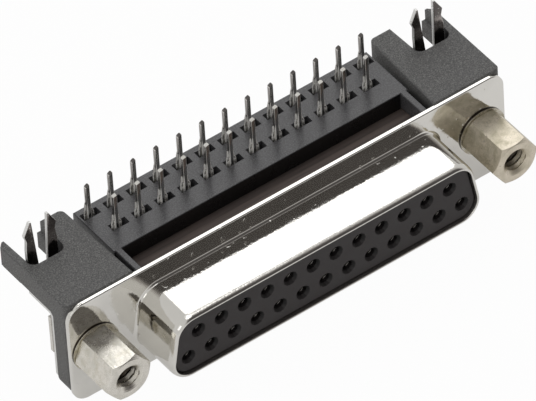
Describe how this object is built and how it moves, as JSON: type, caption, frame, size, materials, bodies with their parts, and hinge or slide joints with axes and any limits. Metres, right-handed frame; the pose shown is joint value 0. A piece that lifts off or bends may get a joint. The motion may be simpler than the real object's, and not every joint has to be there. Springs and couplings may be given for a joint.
{
  "type": "d-sub connector",
  "caption": "Right-angle board connector with a D-shaped metal collar, rows of sockets, hexagonal screw locks, plastic brackets and barbed board locks.",
  "frame": {"origin": "centre of the flat insulator face that the plug meets, midway between the two rows of sockets", "axes": "+X along the rows of sockets, +Y from the mating face back into the connector, +Z towards the circuit board, the way the tails point"},
  "size_m": [0.053, 0.0178, 0.0174],
  "materials": {
    "shell_plate": "bright tin plate over drawn steel, slightly mottled at the bends",
    "insulator_plastic": "moulded, fine grain",
    "comb_plastic": "moulded, half gloss",
    "bracket_plastic": "moulded, glass filled grain",
    "lock_plate": "bright tin plate over stamped copper alloy",
    "contact_plate": "bright tin plate over copper alloy",
    "screw_plate": "nickel plate, turned end face",
    "washer_steel": "darkened spring steel"
  },
  "bodies": {
    "root": {"contact_01": "contact_plate", "contact_02": "contact_plate", "contact_03": "contact_plate", "contact_04": "contact_plate", "contact_05": "contact_plate", "contact_06": "contact_plate", "contact_07": "contact_plate", "contact_08": "contact_plate", "contact_09": "contact_plate", "contact_10": "contact_plate", "contact_11": "contact_plate", "contact_12": "contact_plate", "contact_13": "contact_plate", "contact_14": "contact_plate", "contact_15": "contact_plate", "contact_16": "contact_plate", "contact_17": "contact_plate", "contact_18": "contact_plate", "contact_19": "contact_plate", "contact_20": "contact_plate", "contact_21": "contact_plate", "contact_22": "contact_plate", "contact_23": "contact_plate", "contact_24": "contact_plate", "contact_25": "contact_plate", "front_insulator": "insulator_plastic", "front_shell": "shell_plate", "left_board_lock": "lock_plate", "left_bracket": "bracket_plastic", "left_nut": "screw_plate", "left_screw_lock": "screw_plate", "left_washer": "washer_steel", "rear_insulator": "insulator_plastic", "right_board_lock": "lock_plate", "right_bracket": "bracket_plastic", "right_nut": "screw_plate", "right_screw_lock": "screw_plate", "right_washer": "washer_steel", "tail_comb": "comb_plastic"}
  },
  "joints": []
}
